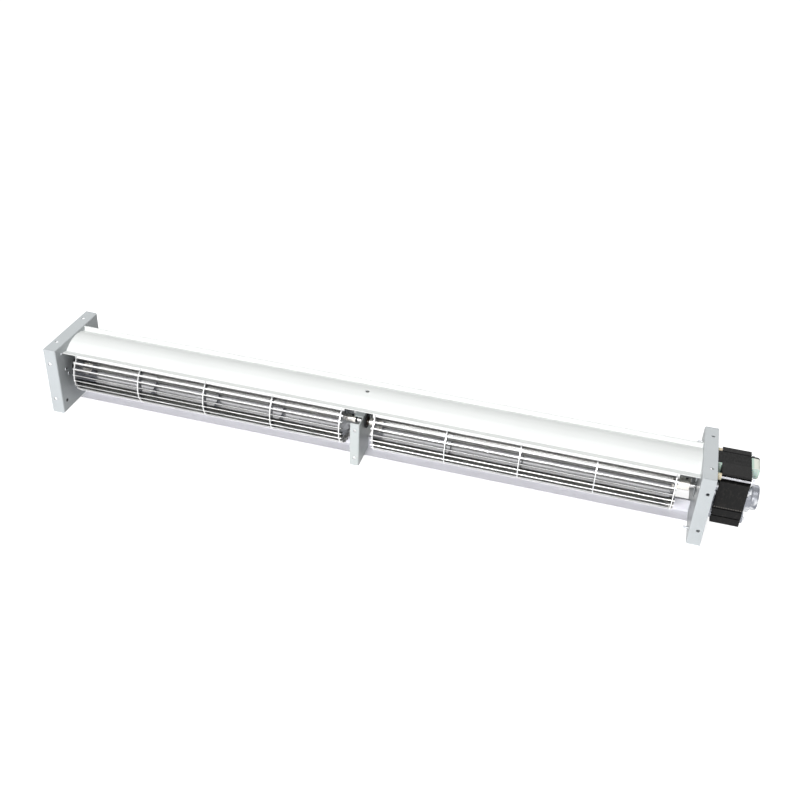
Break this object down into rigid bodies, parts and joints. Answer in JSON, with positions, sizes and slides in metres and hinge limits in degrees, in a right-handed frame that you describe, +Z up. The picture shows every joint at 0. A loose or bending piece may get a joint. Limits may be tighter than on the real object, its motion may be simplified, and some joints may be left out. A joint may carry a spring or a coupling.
{
  "type": "cross flow fan",
  "caption": "Long cross flow fan: two slotted-disc impellers in line between folded end plates, with curved casing sheets, a centre bearing bracket and a shaded pole motor.",
  "frame": {"origin": "centre of the four outlet bolts, in the plane of the outlet, midway between the two end plates", "axes": "+X along the rotor towards the motor, +Y from the inlet to the back, +Z up"},
  "size_m": [0.8684, 0.104, 0.093],
  "materials": {
    "plate_paint": "satin pale blue-grey",
    "shell_paint": "satin white",
    "bracket_paint": "satin pale blue-grey",
    "impeller_aluminium": "mill finish",
    "turned_steel": "turned",
    "black_steel": "blackened",
    "rubber": "matte",
    "sintered_bronze": "sintered",
    "zinc_steel": "zinc plated",
    "stack_paint": "black, laminated",
    "copper": "bare copper",
    "cast_metal": "die cast",
    "bobbin_plastic": "matte",
    "coil_tape": "taped",
    "cover_sheet": "matte",
    "spacer_plastic": "matte"
  },
  "bodies": {
    "housing": {"bracket_foot_rivets": "zinc_steel", "bracket_screws": "zinc_steel", "centre_bearing_bush": "sintered_bronze", "centre_bearing_rubber": "rubber", "centre_bracket": "bracket_paint", "coil_bobbin": "bobbin_plastic", "coil_cover": "cover_sheet", "coil_terminals": "zinc_steel", "coil_winding": "coil_tape", "corner_screws": "zinc_steel", "inner_bearing_bracket": "cast_metal", "inner_motor_bush": "sintered_bronze", "left_bearing_bush": "sintered_bronze", "left_bearing_plate": "zinc_steel", "left_bearing_rivets": "zinc_steel", "left_bearing_rubber": "rubber", "left_end_plate": "plate_paint", "mount_bolts": "zinc_steel", "mount_washers": "zinc_steel", "outer_bearing_bracket": "cast_metal", "outer_motor_bush": "sintered_bronze", "rear_wall": "shell_paint", "right_end_plate": "plate_paint", "shading_rings": "copper", "stand_offs": "spacer_plastic", "stator_stack": "stack_paint", "tongue": "shell_paint", "top_shell": "shell_paint"},
    "rotor": {"centre_shaft": "turned_steel", "centre_washer": "black_steel", "drive_hub": "turned_steel", "end_shaft": "turned_steel", "left_inner_hub": "turned_steel", "left_outer_hub": "turned_steel", "left_wheel_blades": "impeller_aluminium", "left_wheel_end_discs": "impeller_aluminium", "left_wheel_rings": "impeller_aluminium", "motor_shaft": "turned_steel", "right_inner_hub": "turned_steel", "right_wheel_blades": "impeller_aluminium", "right_wheel_end_discs": "impeller_aluminium", "right_wheel_rings": "impeller_aluminium", "rotor_core": "black_steel", "set_screws": "black_steel"}
  },
  "joints": [
    {"name": "rotor_spin", "type": "hinge", "parent": "housing", "child": "rotor", "pos_m": [0, -0.01, 0.0495], "axis": [1, 0, 0], "continuous": true}
  ]
}
